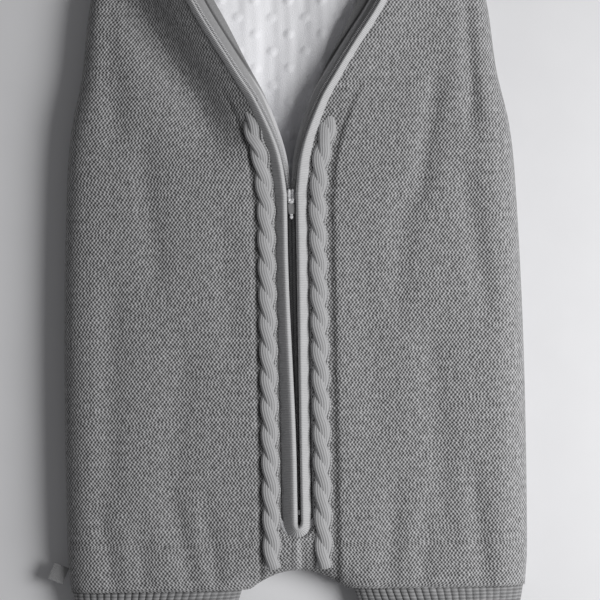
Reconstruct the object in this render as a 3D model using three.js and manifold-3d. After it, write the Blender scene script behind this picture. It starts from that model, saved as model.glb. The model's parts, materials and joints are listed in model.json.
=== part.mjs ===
// A padded, knitted baby sleeping bag with two short legs, lying on its back
// with the front zip pulled part of the way down.
// Millimetres. +X is the right-hand side seen from the front, +Y runs from the
// leg cuffs to the neck, +Z is up, out of the front. The origin is the middle of
// the back, on the surface that the bag lies on.
// Inside this file the places along the bag are heights above the cuff hems; the
// whole bag is moved down by half its length at the end.
import * as THREE from 'three';
import { mergeVertices } from 'three/addons/utils/BufferGeometryUtils.js';
import Module from 'manifold-3d';

const wasm = await Module();
wasm.setup();

// Driving dimensions
const LENGTH = 750;            // cuff hem to shoulder seam
const CUFF_LENGTH = 45;
const BODY_START = 45.3;       // where the legs end, just above the cuffs
const PUFF = 36;               // height of the front above the surface
const KNIT = 2.6;              // thicknesses of the three layers
const WADDING = 4.0;
const LINING = 2.2;
const GAP = 0.3;               // clearance between neighbouring pieces
const BACK_SEAM = 11;          // height of the back's edge at the side seam
const FRONT_SEAM = 17;         // height of the front's edge at the side seam
const SIDE_ROLL = 30;          // width of the rounded edge along the side seams
const CROTCH_ROLL = 22;
const PIPING_RADIUS = 5.6;
const PIPING_OUT = 9;          // piping's centre line from the zip's middle
const PIPING_UP = 35;          // piping's centre line above the surface
const SLOT_BOTTOM = 104.8;     // centre of the piping's bend below the zip
const SLIDER_MIDDLE = 384;
const SLIDER_LENGTH = 12;
const SLIDER_HALF = 3.1;
const ZIP_TOP = 690;           // front corner of the neck, where the chain ends
const FOLD_CLEAR = 394;        // where the moving edges start above the slider
const CHAIN_UP = 28.9;         // underside of the coils
const OPEN_STEP = 15;          // spacing of the points along the open edges
const CROTCH_TOP = 63.4;
const CROTCH_CURVE = 0.0093;   // drop of the crotch arch, per mm squared
const BACK_NECK = 730;         // lowest point of the back neckline
const NECK_CURVE = 0.0036;
const BINDING_RADIUS = 4.2;
const WADDING_INSET = 10;      // the inner layers stop short of the seams
const LINING_INSET = 15;

const COLOURS = {
  knit: 0x7f7f80, wadding: 0xf2f2ee, lining: 0xe9e9ee, rib: 0x858586,
  piping: 0x9a9a9d, tape: 0x55555a, coil: 0x8b8b90, facing: 0x8e8e92,
  metal: 0xc4c6c9, grip: 0x77777a, label: 0xc9c9cb,
};

// A smooth curve through pairs of place and value, held level past its ends.
function profile(pairs) {
  const last = pairs.length - 1;
  const slope = (i) => {
    const a = pairs[Math.max(i - 1, 0)];
    const b = pairs[Math.min(i + 1, last)];
    return (b[1] - a[1]) / (b[0] - a[0]);
  };
  return (at) => {
    if (at <= pairs[0][0]) return pairs[0][1];
    if (at >= pairs[last][0]) return pairs[last][1];
    const i = pairs.findIndex((pair) => pair[0] > at) - 1;
    const [x0, y0] = pairs[i];
    const [x1, y1] = pairs[i + 1];
    const span = x1 - x0;
    const t = (at - x0) / span;
    const rise = (1 + 2 * t) * (1 - t) ** 2 * y0 + t * t * (3 - 2 * t) * y1;
    return rise + span * (t * (1 - t) ** 2 * slope(i) - t * t * (1 - t) * slope(i + 1));
  };
}

const clamp01 = (value) => Math.min(1, Math.max(0, value));
const roll = (distance, width) => Math.sqrt(1 - (1 - clamp01(distance / width)) ** 2);

// Half the bag's width at each height, from the leg ends to the shoulders.
const halfWidth = profile([
  [45, 197], [80, 199.5], [250, 199.5], [390, 195], [443, 190.5], [492, 180],
  [553, 172], [595, 159], [620, 145], [660, 136], [700, 135], [750, 138],
]);
// Outer edge of the piping, from the closed zip through the open V to the neck.
const openingEdge = profile([
  [380, 15], [423, 19.8], [463, 34], [485, 46.4], [553, 86], [600, 102],
  [640, 107], [680, 103], [715, 93], [750, 78],
]);
// Height of the piping's centre line: the open edges stand up.
const edgeHeight = profile([
  [385, PIPING_UP], [423, 40], [463, 46], [500, 51], [553, 55], [620, 55],
  [680, 47], [720, 35], [750, 27],
]);
const puff = profile([[45, 33], [120, PUFF], [600, PUFF], [680, 33], [750, 30]]);

// How full the bag is at a point: 0 on a sewn edge, 1 well inside.
// The armholes and the neck are open, so the sides count only below the armpit.
function fullness(x, y) {
  const armhole = clamp01((y - 570) / 45);
  const side = roll(halfWidth(y) - Math.abs(x) + armhole * SIDE_ROLL, SIDE_ROLL);
  const arch = CROTCH_TOP - CROTCH_CURVE * x * x;
  const lean = Math.hypot(1, 2 * CROTCH_CURVE * x);
  const crotch = roll((y - arch) / lean, CROTCH_ROLL);
  const shoulder = roll(LENGTH - y, SIDE_ROLL);
  return side * crotch * shoulder;
}

const backUnder = (x, y) => BACK_SEAM * (1 - fullness(x, y));

function frontTop(x, y) {
  const out = Math.max(0, Math.abs(x) - openingEdge(y));
  const ridge = (edgeHeight(y) - 1 - puff(y)) * Math.exp(-((out / 40) ** 2));
  const height = puff(y) + (y > 385 ? ridge : 0);
  return FRONT_SEAM + (height - FRONT_SEAM) * fullness(x, y);
}

function solidOf(geometry) {
  const bare = geometry.clone();
  bare.deleteAttribute('normal');
  bare.deleteAttribute('uv');
  const merged = mergeVertices(bare, 1e-4);
  return new wasm.Manifold(new wasm.Mesh({
    numProp: 3,
    vertProperties: new Float32Array(merged.attributes.position.array),
    triVerts: new Uint32Array(merged.index.array),
  }));
}

function geometryOf(solid) {
  const mesh = solid.getMesh();
  const geometry = new THREE.BufferGeometry();
  geometry.setAttribute('position', new THREE.BufferAttribute(mesh.vertProperties, 3));
  geometry.setIndex(new THREE.BufferAttribute(mesh.triVerts, 1));
  return geometry;
}

const cut = (geometry, ...tools) => geometryOf(
  tools.reduce((solid, tool) => solid.subtract(solidOf(tool)), solidOf(geometry)));

const kept = (geometry, tool) => geometryOf(solidOf(geometry).intersect(solidOf(tool)));

const joined = (first, ...others) => geometryOf(
  others.reduce((solid, other) => solid.add(solidOf(other)), solidOf(first)));

// A closed slab over a grid: place(u, v, top) gives each corner, with u and v from
// -1 to 1. Its upper and lower faces are split the same way, so that slabs laid on
// one another keep an even gap.
function slab(columns, rows, place) {
  const plane = new THREE.PlaneGeometry(2, 2, columns, rows);
  const flat = plane.attributes.position;
  const faces = Array.from(plane.index.array);
  const count = flat.count;
  const corners = [];
  for (const top of [true, false]) {
    for (let i = 0; i < count; i += 1) {
      corners.push(...place(flat.getX(i), flat.getY(i), top));
    }
  }
  const index = [...faces];
  for (let i = 0; i < faces.length; i += 3) {
    index.push(faces[i] + count, faces[i + 2] + count, faces[i + 1] + count);
  }
  const across = columns + 1;
  const rim = [];
  for (let i = 0; i < columns; i += 1) rim.push(i);
  for (let i = 0; i < rows; i += 1) rim.push(columns + i * across);
  for (let i = columns; i > 0; i -= 1) rim.push(rows * across + i);
  for (let i = rows; i > 0; i -= 1) rim.push(i * across);
  rim.forEach((a, i) => {
    const b = rim[(i + 1) % rim.length];
    index.push(a, b, a + count, b, b + count, a + count);
  });
  const geometry = new THREE.BufferGeometry();
  geometry.setAttribute('position', new THREE.Float32BufferAttribute(corners, 3));
  geometry.setIndex(index);
  return geometry;
}

// Even steps from -1 to 1, drawn closer together towards both ends.
const gather = (step) => (step + Math.sin(step * Math.PI / 2)) / 2;

// One layer over the whole outline of the bag, between two heights.
function layer({ columns, rows, low, high }) {
  return slab(columns, rows, (u, v, top) => {
    const y = BODY_START + (LENGTH - BODY_START) * (gather(v) + 1) / 2;
    const x = halfWidth(y) * gather(u);
    return [x, y, (top ? high : low)(x, y)];
  });
}

// A narrow strip beside the zip: inner and outer give its edges at each height.
function strip({ rows, from, to, inner, outer, low, high }) {
  return slab(1, rows, (u, v, top) => {
    const y = from + (to - from) * (v + 1) / 2;
    return [u < 0 ? inner(y) : outer(y), y, (top ? high : low)(y)];
  });
}

function prism(points) {
  const outline = new THREE.Shape(points.map(([x, y]) => new THREE.Vector2(x, y)));
  const body = new THREE.ExtrudeGeometry(outline, { depth: 140, bevelEnabled: false });
  return body.translate(0, 0, -40);
}

// The slot, the open V and the neck, as one outline grown outwards by `grow`.
function openingTool(grow) {
  const right = [];
  const radius = openingEdge(0) + grow;
  for (let turn = 0; turn <= 5; turn += 1) {
    const angle = -Math.PI / 2 + turn * Math.PI / 10;
    right.push([radius * Math.cos(angle), SLOT_BOTTOM + radius * Math.sin(angle)]);
  }
  for (let y = 385; y < LENGTH; y += OPEN_STEP) {
    right.push([openingEdge(y) + grow, y]);
  }
  right.push([openingEdge(LENGTH) + grow, LENGTH + 20]);
  const left = right.slice(1).reverse().map(([x, y]) => [-x, y]);
  return prism([...right, ...left]);
}

function crotchTool(grow) {
  const points = [];
  for (let x = -70; x <= 70; x += 10) {
    points.push([x, CROTCH_TOP - CROTCH_CURVE * x * x + grow]);
  }
  points.push([70, -20], [-70, -20]);
  return prism(points.reverse());
}

// Everything inside the sewn edges, further in by `inset`.
function insideTool(inset) {
  const right = [20, 60, 100, 250, 330, 390, 443, 492, 553, 595, 620, 660, 700].map(
    (y) => [halfWidth(y) - inset, y]);
  right.push([halfWidth(LENGTH) - inset, LENGTH - inset]);
  const left = right.slice().reverse().map(([x, y]) => [-x, y]);
  return prism([...right, ...left]);
}

function neckTool(grow) {
  const points = [];
  for (let x = -84; x <= 84; x += 12) {
    points.push([x, BACK_NECK + NECK_CURVE * x * x - grow]);
  }
  points.push([84, LENGTH + 20], [-84, LENGTH + 20]);
  return prism(points);
}

function roundTube(points, radius, steps, sides) {
  const ring = new THREE.Shape();
  ring.absarc(0, 0, radius, 0, 2 * Math.PI, false);
  const path = new THREE.CatmullRomCurve3(points.map((p) => new THREE.Vector3(...p)));
  return new THREE.ExtrudeGeometry(ring, {
    steps, extrudePath: path, bevelEnabled: false, curveSegments: sides / 2,
  });
}

const bag = new THREE.Group();

function add(name, geometry, colour, roughness = 0.95, metalness = 0) {
  const material = new THREE.MeshStandardMaterial({ color: colour, roughness, metalness });
  const mesh = new THREE.Mesh(geometry, material);
  mesh.name = name;
  bag.add(mesh);
}

const waddingDepth = KNIT + GAP;
const liningDepth = waddingDepth + WADDING + GAP;
const backGrid = { columns: 12, rows: 16 };
const frontGrid = { columns: 16, rows: 20 };

// Back: knit outside, wadding, and the dotted plush lining inside.
function backLayer(depth, thick, inset) {
  const whole = layer({
    ...backGrid,
    low: (x, y) => backUnder(x, y) + depth,
    high: (x, y) => backUnder(x, y) + depth + thick,
  });
  const trimmed = inset ? kept(whole, insideTool(inset)) : whole;
  return cut(trimmed, neckTool(inset ? 1 : 0), crotchTool(inset));
}
add('back_knit', backLayer(0, KNIT, 0), COLOURS.knit);
add('back_wadding', backLayer(waddingDepth, WADDING, WADDING_INSET), COLOURS.wadding);
add('back_lining', backLayer(liningDepth, LINING, LINING_INSET), COLOURS.lining);

// Front: the same three layers, each with the slot and the open V cut out.
function frontLayer(depth, thick, inset, slotGrow) {
  const whole = layer({
    ...frontGrid,
    low: (x, y) => frontTop(x, y) - depth - thick,
    high: (x, y) => frontTop(x, y) - depth,
  });
  const trimmed = inset ? kept(whole, insideTool(inset)) : whole;
  return cut(trimmed, openingTool(slotGrow), crotchTool(inset));
}
add('front_knit', frontLayer(0, KNIT, 0, 0.6), COLOURS.knit);
add('front_wadding', frontLayer(waddingDepth, WADDING, WADDING_INSET, 5), COLOURS.wadding);
add('front_lining', frontLayer(liningDepth, LINING, LINING_INSET, 11), COLOURS.lining);

// Ribbed cuffs: flattened tubes that narrow towards the hem.
function cuff(side) {
  const ring = (middle, halfAcross, halfUp) => ({ middle, halfAcross, halfUp });
  const top = ring(121.5, 74, 15.5);
  const hem = ring(125.5, 63, 12.5);
  const wall = 4.5;
  const tube = (grow, over) => {
    const body = new THREE.CylinderGeometry(1, 1, 1, 28, 2);
    const corner = body.attributes.position;
    for (let i = 0; i < corner.count; i += 1) {
      const t = corner.getY(i) + 0.5;
      const blend = (key) => hem[key] + (top[key] - hem[key]) * t;
      corner.setXYZ(
        i,
        side * (blend('middle') + corner.getX(i) * side * (blend('halfAcross') + grow)),
        -over + t * (CUFF_LENGTH + 2 * over),
        17 + corner.getZ(i) * (blend('halfUp') + grow));
    }
    return body;
  };
  return cut(tube(0, 0), tube(-wall, 1));
}
add('cuff_left', cuff(-1), COLOURS.rib);
add('cuff_right', cuff(1), COLOURS.rib);

// Knitted piping: one U round the closed zip, and its two arms up the open V.
const bend = [];
for (let turn = 0; turn <= 6; turn += 1) {
  const angle = Math.PI + turn * Math.PI / 6;
  bend.push([PIPING_OUT * Math.cos(angle), SLOT_BOTTOM + PIPING_OUT * Math.sin(angle),
    PIPING_UP]);
}
const armTop = SLIDER_MIDDLE + 2;
const lowerPath = [
  ...[armTop, 300, 200, 140, 115].map((y) => [-PIPING_OUT, y, PIPING_UP]), ...bend,
  ...[115, 140, 200, 300, armTop].map((y) => [PIPING_OUT, y, PIPING_UP]),
];
add('piping_lower', roundTube(lowerPath, PIPING_RADIUS, 44, 10), COLOURS.piping);

function armPath(side) {
  const points = [];
  for (let y = FOLD_CLEAR - 5; y < LENGTH - 10; y += OPEN_STEP) {
    points.push([side * (openingEdge(y) - PIPING_RADIUS - 0.4), y, edgeHeight(y)]);
  }
  return points;
}

// Each open edge carries its length of tape, its coil and the soft inner facing.
const coilInner = (y) => openingEdge(y) - 14.8;
const chainDrop = PIPING_UP - CHAIN_UP;
const edgeStrips = {
  zip_tape: {
    inner: (y) => openingEdge(y) - 14.4, outer: (y) => openingEdge(y) - 2,
    low: (y) => edgeHeight(y) - chainDrop - 1, high: (y) => edgeHeight(y) - chainDrop - GAP,
    colour: COLOURS.tape,
  },
  zip_coil: {
    inner: coilInner, outer: (y) => coilInner(y) + 2.7,
    low: (y) => edgeHeight(y) - chainDrop, high: (y) => edgeHeight(y) - chainDrop + 2.3,
    colour: COLOURS.coil,
  },
  facing: {
    inner: (y) => Math.max(0.5, openingEdge(y) - 24),
    outer: (y) => openingEdge(y) - 3,
    low: (y) => edgeHeight(y) - chainDrop - 3, high: (y) => edgeHeight(y) - chainDrop - 1.5,
    colour: COLOURS.facing,
  },
};
const mirrored = (side, { inner, outer, ...rest }) => (side > 0
  ? { inner, outer, ...rest }
  : { inner: (y) => -outer(y), outer: (y) => -inner(y), ...rest });

for (const [word, side] of [['left', -1], ['right', 1]]) {
  add(`piping_${word}_edge`, roundTube(armPath(side), PIPING_RADIUS, 30, 10), COLOURS.piping);
  for (const [kind, { colour, ...shape }] of Object.entries(edgeStrips)) {
    const geometry = strip({
      rows: 22, from: FOLD_CLEAR, to: ZIP_TOP, ...mirrored(side, shape),
    });
    add(`${kind}_${word}_edge`, geometry, colour);
  }
  // Closed part of the zip below the slider.
  const tape = {
    inner: () => 0.5, outer: () => 18.5, low: () => CHAIN_UP - 1, high: () => CHAIN_UP - GAP,
  };
  const coil = {
    inner: () => 0.2, outer: () => 2.9, low: () => CHAIN_UP, high: () => CHAIN_UP + 2.3,
  };
  const lower = { rows: 1, to: armTop };
  add(`zip_tape_${word}`, strip({ ...lower, from: 99, ...mirrored(side, tape) }), COLOURS.tape);
  add(`zip_coil_${word}`, strip({ ...lower, from: 104, ...mirrored(side, coil) }),
    COLOURS.coil);
  const stop = new THREE.BoxGeometry(2.6, 3, 3.4);
  const stopHeight = edgeHeight(ZIP_TOP) - chainDrop + 1;
  stop.translate(side * (coilInner(ZIP_TOP) + 1), ZIP_TOP + 2, stopHeight);
  add(`top_stop_${word}`, stop, COLOURS.metal, 0.35, 1);
}

// The facing behind the closed zip, and the stop that ends the chain.
add('facing_lower', strip({
  rows: 1, from: 99, to: armTop, inner: () => -25, outer: () => 25,
  low: () => CHAIN_UP - 3, high: () => CHAIN_UP - 1.5,
}), COLOURS.facing);
add('bottom_stop', new THREE.BoxGeometry(6, 4, 1.4).translate(0, 112, CHAIN_UP + 3.3),
  COLOURS.metal, 0.35, 1);

// Slider: a plate over the coils, rounded at its wide end, with two cheeks and a
// bar on top that the pull hangs from.
const plateUnder = CHAIN_UP + 2.3 + GAP;
const plateThick = 1.9;
const barUp = plateUnder + plateThick + 2.6;
const barAlong = SLIDER_MIDDLE - 3;
const cheekThick = 0.8;
function sliderGeometry() {
  const half = SLIDER_LENGTH / 2;
  const outline = new THREE.Shape();
  outline.moveTo(-2.2, -half);
  outline.lineTo(2.2, -half);
  outline.absarc(0, half - SLIDER_HALF, SLIDER_HALF, 0, Math.PI, false);
  outline.closePath();
  const plate = new THREE.ExtrudeGeometry(outline, {
    depth: plateThick, bevelEnabled: false, curveSegments: 8,
  });
  plate.translate(0, SLIDER_MIDDLE, plateUnder);
  const bar = new THREE.CylinderGeometry(0.8, 0.8, 5, 12).rotateZ(Math.PI / 2);
  bar.translate(0, barAlong, barUp);
  const cheeks = [-1, 1].map((side) => {
    const cheek = new THREE.BoxGeometry(cheekThick, 4.4, barUp + 1.2 - plateUnder);
    const middle = (barUp + 1.2 + plateUnder) / 2;
    return cheek.translate(side * (2.5 - cheekThick / 2), barAlong, middle);
  });
  return joined(plate, bar, ...cheeks);
}
add('slider', sliderGeometry(), COLOURS.metal, 0.3, 1);

// Pull: an eye round the slider's bar, a flat tongue, and a small round end.
const PULL_LENGTH = 15;
const PULL_HALF = 1.5;
function pullGeometry() {
  const eye = new THREE.CylinderGeometry(2.1, 2.1, 2 * PULL_HALF, 16).rotateZ(Math.PI / 2);
  const hole = new THREE.CylinderGeometry(1.2, 1.2, 8, 12).rotateZ(Math.PI / 2);
  const tongue = new THREE.BoxGeometry(2 * PULL_HALF, PULL_LENGTH - 3.4, 1.2);
  tongue.translate(0, -(PULL_LENGTH + 0.6) / 2, 0);
  const end = new THREE.SphereGeometry(1.6, 12, 8).translate(0, -PULL_LENGTH + 1.6, 0);
  return cut(joined(eye, tongue, end), hole).translate(0, barAlong, barUp);
}
add('pull', pullGeometry(), COLOURS.metal, 0.3, 1);

function gripGeometry() {
  const length = 8;
  const sleeve = new THREE.BoxGeometry(5.4, length, 2.8);
  const bore = new THREE.BoxGeometry(2 * PULL_HALF + 2 * GAP, length + 2, 1.2 + 2 * GAP);
  return cut(sleeve, bore).translate(0, barAlong - 7.3, barUp);
}
add('pull_grip', gripGeometry(), COLOURS.grip);

// Rib bindings: a closed ring round each armhole and one along the back neckline.
function ringAlong(points, radius, steps, sides) {
  const path = new THREE.CatmullRomCurve3(points.map((p) => new THREE.Vector3(...p)), true);
  const torus = new THREE.TorusGeometry(50, radius, sides, steps);
  const corner = torus.attributes.position;
  const across = new THREE.Vector3(1, 0, 0);
  for (let i = 0; i < corner.count; i += 1) {
    const angle = Math.atan2(corner.getY(i), corner.getX(i));
    const t = (angle / (2 * Math.PI) + 1) % 1;
    const out = Math.hypot(corner.getX(i), corner.getY(i)) - 50;
    const along = path.getTangentAt(t);
    const away = new THREE.Vector3().crossVectors(along, across).normalize();
    const aside = new THREE.Vector3().crossVectors(away, along);
    const at = path.getPointAt(t).addScaledVector(away, out);
    at.addScaledVector(aside, corner.getZ(i));
    corner.setXYZ(i, at.x, at.y, at.z);
  }
  return torus;
}
function armholeLoop(side) {
  const out = BINDING_RADIUS + 3;
  const edge = (y) => side * (halfWidth(y) + out);
  const backUp = liningDepth / 2 + 2;
  const frontUp = (y) => frontTop(halfWidth(y), y) - liningDepth / 2;
  const rise = [616, 630, 645, 665, 700, 730];
  return [
    [edge(602), 602, 17],
    ...rise.map((y) => [edge(y), y, backUp + (y > 720 ? 4 : 0)]),
    [edge(745), 744, 16],
    ...rise.reverse().map((y) => [edge(y), y, frontUp(y)]),
  ];
}
add('armhole_binding_left', ringAlong(armholeLoop(-1), BINDING_RADIUS, 36, 8), COLOURS.rib);
add('armhole_binding_right', ringAlong(armholeLoop(1), BINDING_RADIUS, 36, 8), COLOURS.rib);

const neckPath = [-64, -44, -22, 0, 22, 44, 64].map(
  (x) => [x, BACK_NECK + NECK_CURVE * x * x + BINDING_RADIUS + GAP + 0.3, 6]);
add('neck_binding', roundTube(neckPath, BINDING_RADIUS, 14, 10), COLOURS.rib);

// Folded tab sewn into the left side seam, left blank.
const tab = new THREE.BoxGeometry(13.5, 15, 1.4).rotateZ(THREE.MathUtils.degToRad(-24));
add('side_label', tab.translate(-(halfWidth(61) + 9.8), 61, 15), COLOURS.label);

bag.position.y = -LENGTH / 2;
const sleepingBag = new THREE.Group();
sleepingBag.add(bag);

export default sleepingBag;
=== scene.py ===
import json
import math

import bpy
import numpy as np
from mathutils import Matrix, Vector

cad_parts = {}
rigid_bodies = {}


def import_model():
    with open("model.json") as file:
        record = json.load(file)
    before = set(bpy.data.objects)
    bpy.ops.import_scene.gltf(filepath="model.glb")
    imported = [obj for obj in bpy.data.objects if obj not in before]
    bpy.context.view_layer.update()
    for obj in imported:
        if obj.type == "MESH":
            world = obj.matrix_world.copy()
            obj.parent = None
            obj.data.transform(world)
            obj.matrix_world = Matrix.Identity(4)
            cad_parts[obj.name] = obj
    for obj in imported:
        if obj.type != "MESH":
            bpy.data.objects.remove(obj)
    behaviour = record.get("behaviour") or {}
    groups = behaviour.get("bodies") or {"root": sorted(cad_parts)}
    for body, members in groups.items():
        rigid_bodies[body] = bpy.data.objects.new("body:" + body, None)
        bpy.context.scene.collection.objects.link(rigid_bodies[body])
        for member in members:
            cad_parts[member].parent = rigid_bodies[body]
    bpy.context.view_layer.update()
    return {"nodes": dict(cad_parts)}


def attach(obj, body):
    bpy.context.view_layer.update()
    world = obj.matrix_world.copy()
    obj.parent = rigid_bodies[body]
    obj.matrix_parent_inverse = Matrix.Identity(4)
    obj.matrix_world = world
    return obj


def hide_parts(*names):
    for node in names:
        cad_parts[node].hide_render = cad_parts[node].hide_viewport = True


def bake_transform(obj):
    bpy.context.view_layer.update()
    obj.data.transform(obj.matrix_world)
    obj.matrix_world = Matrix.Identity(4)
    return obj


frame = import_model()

# Lengths in this script are millimetres. Places along the bag are heights above the
# cuff hems, as in the CAD source, whose origin lies half the bag's length further up.
LENGTH = 750
HALF_LENGTH = 375
CROTCH_TOP = 60.5              # the crotch's arch: its top, and how fast it falls
CROTCH_CURVE = 0.0093
BODY_START = 45.3              # the legs' lower edges, above the cuffs
BACK_SEAM = 11                 # heights of the side seams' lower and upper lips
FRONT_SEAM = 17
SIDE_ROLL = 30                 # how far in from a seam the padding rounds off
CROTCH_ROLL = 22
SLOT_BOTTOM = 104.8            # lower end of the slot over the zip
FOLD_CLEAR = 386               # the front parts here, just above the slider
FOLD_WIDEST = 560              # the open edges swing furthest here
CHAIN_UP = 28.9                # height of the closed zip

rng = np.random.default_rng(7)


# ------------------------------------------------------------------ the bag's shape

def profile(pairs):
    """A smooth curve through pairs of place and value, level past its ends."""
    xs = np.array([p[0] for p in pairs], float)
    ys = np.array([p[1] for p in pairs], float)
    last = len(xs) - 1
    slopes = np.array([
        (ys[min(i + 1, last)] - ys[max(i - 1, 0)]) / (xs[min(i + 1, last)] - xs[max(i - 1, 0)])
        for i in range(last + 1)])

    def value(at):
        at = np.clip(np.asarray(at, float), xs[0], xs[-1])
        i = np.clip(np.searchsorted(xs, at, side="right") - 1, 0, last - 1)
        span = xs[i + 1] - xs[i]
        t = (at - xs[i]) / span
        rise = (1 + 2 * t) * (1 - t) ** 2 * ys[i] + t * t * (3 - 2 * t) * ys[i + 1]
        bend = t * (1 - t) ** 2 * slopes[i] - t * t * (1 - t) * slopes[i + 1]
        return rise + span * bend
    return value


half_width = profile([
    (45, 197), (80, 199.5), (250, 199.5), (390, 195), (443, 190.5), (492, 180),
    (553, 172), (595, 159), (620, 145), (660, 136), (700, 135), (750, 138)])
opening_edge = profile([
    (380, 15), (423, 19.8), (463, 34), (485, 46.4), (553, 86), (600, 102),
    (640, 107), (680, 103), (715, 93), (750, 78)])
# Height of the piping's centre line: the left edge stands up, the right one lies flatter.
edge_heights = {
    -1: profile([(385, 35), (405, 39.5), (423, 45), (463, 55), (500, 62), (553, 66),
                 (620, 66), (680, 53), (720, 38), (750, 27)]),
    1: profile([(385, 35), (423, 37), (463, 39.5), (500, 42), (553, 45), (620, 46),
                (680, 42), (720, 35), (750, 27)])}
RIGHT_FALL = 38.0              # how far out the right edge's gentle rise reaches
LEFT_FALL = 42.0               # the left panel drops straight from its edge over this width
VALLEY = 12.0                  # and sinks this far at the foot of the drop
puff = profile([(45, 33), (120, 36), (600, 36), (680, 33), (750, 30)])


def roll(distance, width):
    """A quarter circle: 0 at a seam, 1 from width inwards."""
    return np.sqrt(1 - (1 - np.clip(distance / width, 0, 1)) ** 2)


def smooth(t):
    """An even step from 0 to 1."""
    t = np.clip(t, 0, 1)
    return t * t * (3 - 2 * t)


def fullness(x, y):
    """0 on a sewn edge, 1 well inside. The armholes and the neck are open."""
    armhole = np.clip((y - 570) / 45, 0, 1)
    side = roll(half_width(y) - np.abs(x) + armhole * SIDE_ROLL, SIDE_ROLL)
    lean = np.hypot(1, 2 * CROTCH_CURVE * x)
    crotch = roll((y - CROTCH_TOP + CROTCH_CURVE * x * x) / lean, CROTCH_ROLL)
    return side * crotch * roll(LENGTH - y, SIDE_ROLL)


def back_under(x, y):
    return BACK_SEAM * (1 - fullness(x, y))


def front_top(x, y):
    out = np.maximum(0, np.abs(x) - opening_edge(y))
    right = np.asarray(x) > 0
    edge = np.where(right, edge_heights[1](y), edge_heights[-1](y))
    ramp = 1 - np.clip(out / LEFT_FALL, 0, 1)
    ramp = ramp + 0.08 * np.exp(-(((out - LEFT_FALL) / 9) ** 2))
    shape = np.where(right, np.exp(-((out / RIGHT_FALL) ** 2)), ramp)
    ridge = (edge - 1 - puff(y)) * shape * smooth((y - 385) / 24)
    sunk = VALLEY * np.exp(-(((out - LEFT_FALL) / 24) ** 2))
    sunk = sunk * smooth((y - 400) / 70) * smooth((700 - y) / 60)
    height = puff(y) + ridge - np.where(right, 0, sunk)
    return FRONT_SEAM + (height - FRONT_SEAM) * fullness(x, y)


# Soft creases of the padded front: (x, y of one end, x, y of the other, depth, width).
CREASES = [
    (155, 740, 157, 450, 4.6, 8), (126, 480, 110, 385, 3.4, 9),
    (98, 380, 90, 290, 2.4, 12), (150, 400, 166, 290, 2.6, 10),
    (60, 330, 72, 180, 1.4, 16), (118, 260, 128, 90, 2.2, 13),
    (152, 140, 160, 55, 2.6, 9), (84, 125, 78, 52, 2.4, 10), (112, 110, 108, 50, 1.8, 8),
    (-160, 560, -150, 440, 3.0, 12), (-128, 430, -118, 320, 2.4, 12),
    (-60, 360, -52, 250, 1.6, 13), (-95, 250, -112, 100, 1.8, 14),
    (-156, 300, -162, 130, 2.2, 12), (-170, 120, -160, 55, 2.4, 9),
    (-104, 115, -92, 52, 2.6, 9), (-78, 110, -70, 52, 2.2, 8), (-136, 100, -132, 50, 1.8, 9)]
WAVES = [(rng.uniform(0.010, 0.034), rng.uniform(-0.016, 0.016), rng.uniform(0, 6.28))
         for _ in range(9)]


def softness(x, y):
    """How far the padding stands up or sinks at a point of the front."""
    x = np.asarray(x, float)
    y = np.asarray(y, float)
    lift = sum(0.42 * np.sin(a * x * 1.6 + b * y + c) for a, b, c in WAVES)
    for x0, y0, x1, y1, depth, width in CREASES:
        length = math.hypot(x1 - x0, y1 - y0)
        along = ((x - x0) * (x1 - x0) + (y - y0) * (y1 - y0)) / length
        across = ((x - x0) * (y1 - y0) - (y - y0) * (x1 - x0)) / length
        ends = smooth((along + 30) / 45) * smooth((length + 30 - along) / 45)
        lift = lift - depth * np.exp(-((across / width) ** 2)) * ends
    return lift


def front_skin(x, y):
    """Height of the front with its creases, level beside the zip's piping."""
    beside = smooth((np.abs(x) - opening_edge(y) - 2) / 26)
    edge = smooth((half_width(y) - np.abs(x)) / 26)
    return front_top(x, y) + softness(x, y) * beside * edge * fullness(x, y)


# ------------------------------------------------------------------ mesh building

def place(x, y, z):
    """Millimetres of the bag to metres of the shared frame."""
    return np.stack([x, y - HALF_LENGTH + 0 * x, z + 0 * x], axis=-1) / 1000


def mesh_object(name, points, faces, uvs=None, normals=None, attributes=None):
    """A smooth mesh from points in metres, with cloth coordinates in millimetres."""
    mesh = bpy.data.meshes.new(name)
    mesh.from_pydata([tuple(p) for p in points.tolist()], [], faces)
    mesh.polygons.foreach_set("use_smooth", [True] * len(mesh.polygons))
    corner = np.zeros(len(mesh.loops), np.int64)
    mesh.loops.foreach_get("vertex_index", corner)
    if uvs is not None:
        layer = mesh.uv_layers.new(name="cloth")
        layer.data.foreach_set("uv", (uvs[corner]).astype(np.float32).ravel())
    for key, values in (attributes or {}).items():
        field = mesh.attributes.new(key, "FLOAT", "POINT")
        field.data.foreach_set("value", values.astype(np.float32))
    mesh.update()
    if normals is not None:
        mesh.normals_split_custom_set_from_vertices([tuple(n) for n in normals.tolist()])
    obj = bpy.data.objects.new(name, mesh)
    bpy.context.scene.collection.objects.link(obj)
    return obj


def grid_normals(grid):
    """Upward normals of a grid of points."""
    along = np.gradient(grid, axis=0)
    across = np.gradient(grid, axis=1)
    normal = np.cross(across, along)
    return normal / np.maximum(np.linalg.norm(normal, axis=-1, keepdims=True), 1e-12)


def grid_faces(rows, columns, first=0, flip=False):
    faces = []
    for r in range(rows - 1):
        for c in range(columns - 1):
            a = first + r * columns + c
            quad = (a, a + 1, a + columns + 1, a + columns)
            faces.append(quad[::-1] if flip else quad)
    return faces


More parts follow.
